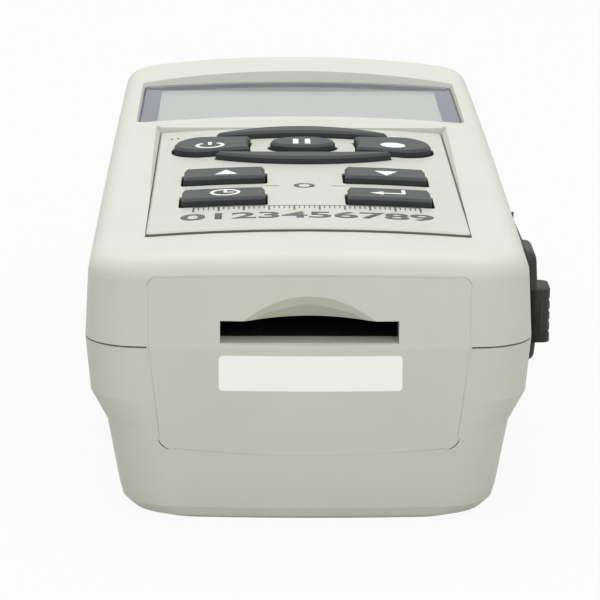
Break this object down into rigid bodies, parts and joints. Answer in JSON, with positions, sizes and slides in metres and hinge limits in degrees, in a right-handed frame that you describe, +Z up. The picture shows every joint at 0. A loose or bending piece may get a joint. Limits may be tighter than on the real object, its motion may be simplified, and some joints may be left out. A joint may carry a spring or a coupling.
{
  "type": "digital manometer",
  "caption": "Handheld digital pressure meter with a keypad, a display, a memory-card slot in its near end and two barbed hose ports in its far end.",
  "frame": {"origin": "centre of the flat underside, which it rests on", "axes": "+Z up, +X to the right of someone who faces the card slot, +Y from the card slot to the hose ports"},
  "size_m": [0.0771, 0.2011, 0.0475],
  "materials": {
    "case_plastic": "fine textured moulded plastic",
    "keypad_plastic": "satin moulded plastic",
    "key_rubber": "matte moulded rubber",
    "cover_rubber": "matte moulded rubber",
    "clear_lens": "clear, polished",
    "display_glass": "pale grey-green display",
    "plated_steel": "bright plated",
    "circuit_board": "solder mask",
    "black_plastic": "matte",
    "red_plastic": "gloss",
    "nickel_brass": "nickel plated, turned",
    "brass": "turned",
    "soft_tube": "translucent silicone",
    "cell_jacket": "shrunk sleeve over a can"
  },
  "bodies": {
    "housing": {"upper_case": "case_plastic", "lower_case": "case_plastic", "end_plate": "case_plastic", "battery_cover": "case_plastic", "keypad_plate": "keypad_plastic", "keypad_mat": "key_rubber", "cover_anchor": "cover_rubber", "display_lens": "clear_lens", "lcd_glass": "display_glass", "lcd_frame": "plated_steel", "card_socket": "plated_steel", "coin_cell": "plated_steel", "battery_contacts": "plated_steel", "board_screws": "plated_steel", "case_screws": "plated_steel", "battery_cover_screw": "plated_steel", "stand_pin": "plated_steel", "main_board": "circuit_board", "card_board": "circuit_board", "jack_board": "circuit_board", "controller_chip": "black_plastic", "buzzer": "black_plastic", "board_connector": "black_plastic", "dc_jack": "black_plastic", "serial_jack": "black_plastic", "reset_switch": "black_plastic", "pressure_sensor": "black_plastic", "port_high": "nickel_brass", "port_low": "nickel_brass", "port_nuts": "nickel_brass", "tripod_insert": "brass", "inner_tube_high": "soft_tube", "inner_tube_low": "soft_tube", "aa_cell_1": "cell_jacket", "aa_cell_2": "cell_jacket", "aa_cell_3": "cell_jacket", "aa_cell_4": "cell_jacket", "aa_cell_5": "cell_jacket", "aa_cell_6": "cell_jacket"},
    "stand": {"stand": "case_plastic"},
    "side_cover": {"side_cover": "cover_rubber"},
    "reset_button": {"reset_button": "red_plastic"},
    "key_time": {"key_time": "key_rubber"},
    "key_enter": {"key_enter": "key_rubber"},
    "key_up": {"key_up": "key_rubber"},
    "key_down": {"key_down": "key_rubber"},
    "key_hold": {"key_hold": "key_rubber"},
    "key_power": {"key_power": "key_rubber"},
    "key_record": {"key_record": "key_rubber"}
  },
  "joints": [
    {"name": "key_time_press", "type": "slide", "parent": "housing", "child": "key_time", "axis": [0, 0, -1], "range_m": [0, 0.0006], "stiffness_N_per_m": 1500},
    {"name": "key_enter_press", "type": "slide", "parent": "housing", "child": "key_enter", "axis": [0, 0, -1], "range_m": [0, 0.0006], "stiffness_N_per_m": 1500},
    {"name": "key_up_press", "type": "slide", "parent": "housing", "child": "key_up", "axis": [0, 0, -1], "range_m": [0, 0.0006], "stiffness_N_per_m": 1500},
    {"name": "key_down_press", "type": "slide", "parent": "housing", "child": "key_down", "axis": [0, 0, -1], "range_m": [0, 0.0006], "stiffness_N_per_m": 1500},
    {"name": "key_hold_press", "type": "slide", "parent": "housing", "child": "key_hold", "axis": [0, 0, -1], "range_m": [0, 0.0006], "stiffness_N_per_m": 1500},
    {"name": "key_power_press", "type": "slide", "parent": "housing", "child": "key_power", "axis": [0, 0, -1], "range_m": [0, 0.0006], "stiffness_N_per_m": 1500},
    {"name": "key_record_press", "type": "slide", "parent": "housing", "child": "key_record", "axis": [0, 0, -1], "range_m": [0, 0.0006], "stiffness_N_per_m": 1500},
    {"name": "reset_press", "type": "slide", "parent": "housing", "child": "reset_button", "axis": [-1, 0, 0], "range_m": [0, 0.0005], "stiffness_N_per_m": 1500},
    {"name": "stand_hinge", "type": "hinge", "parent": "housing", "child": "stand", "pos_m": [0, 0.06775, 0.0021], "axis": [1, 0, 0], "range_deg": [0, 60]},
    {"name": "side_cover_hinge", "type": "hinge", "parent": "housing", "child": "side_cover", "pos_m": [0.03735, -0.02405, 0.0306], "axis": [0, 0, 1], "range_deg": [0, 100]}
  ]
}
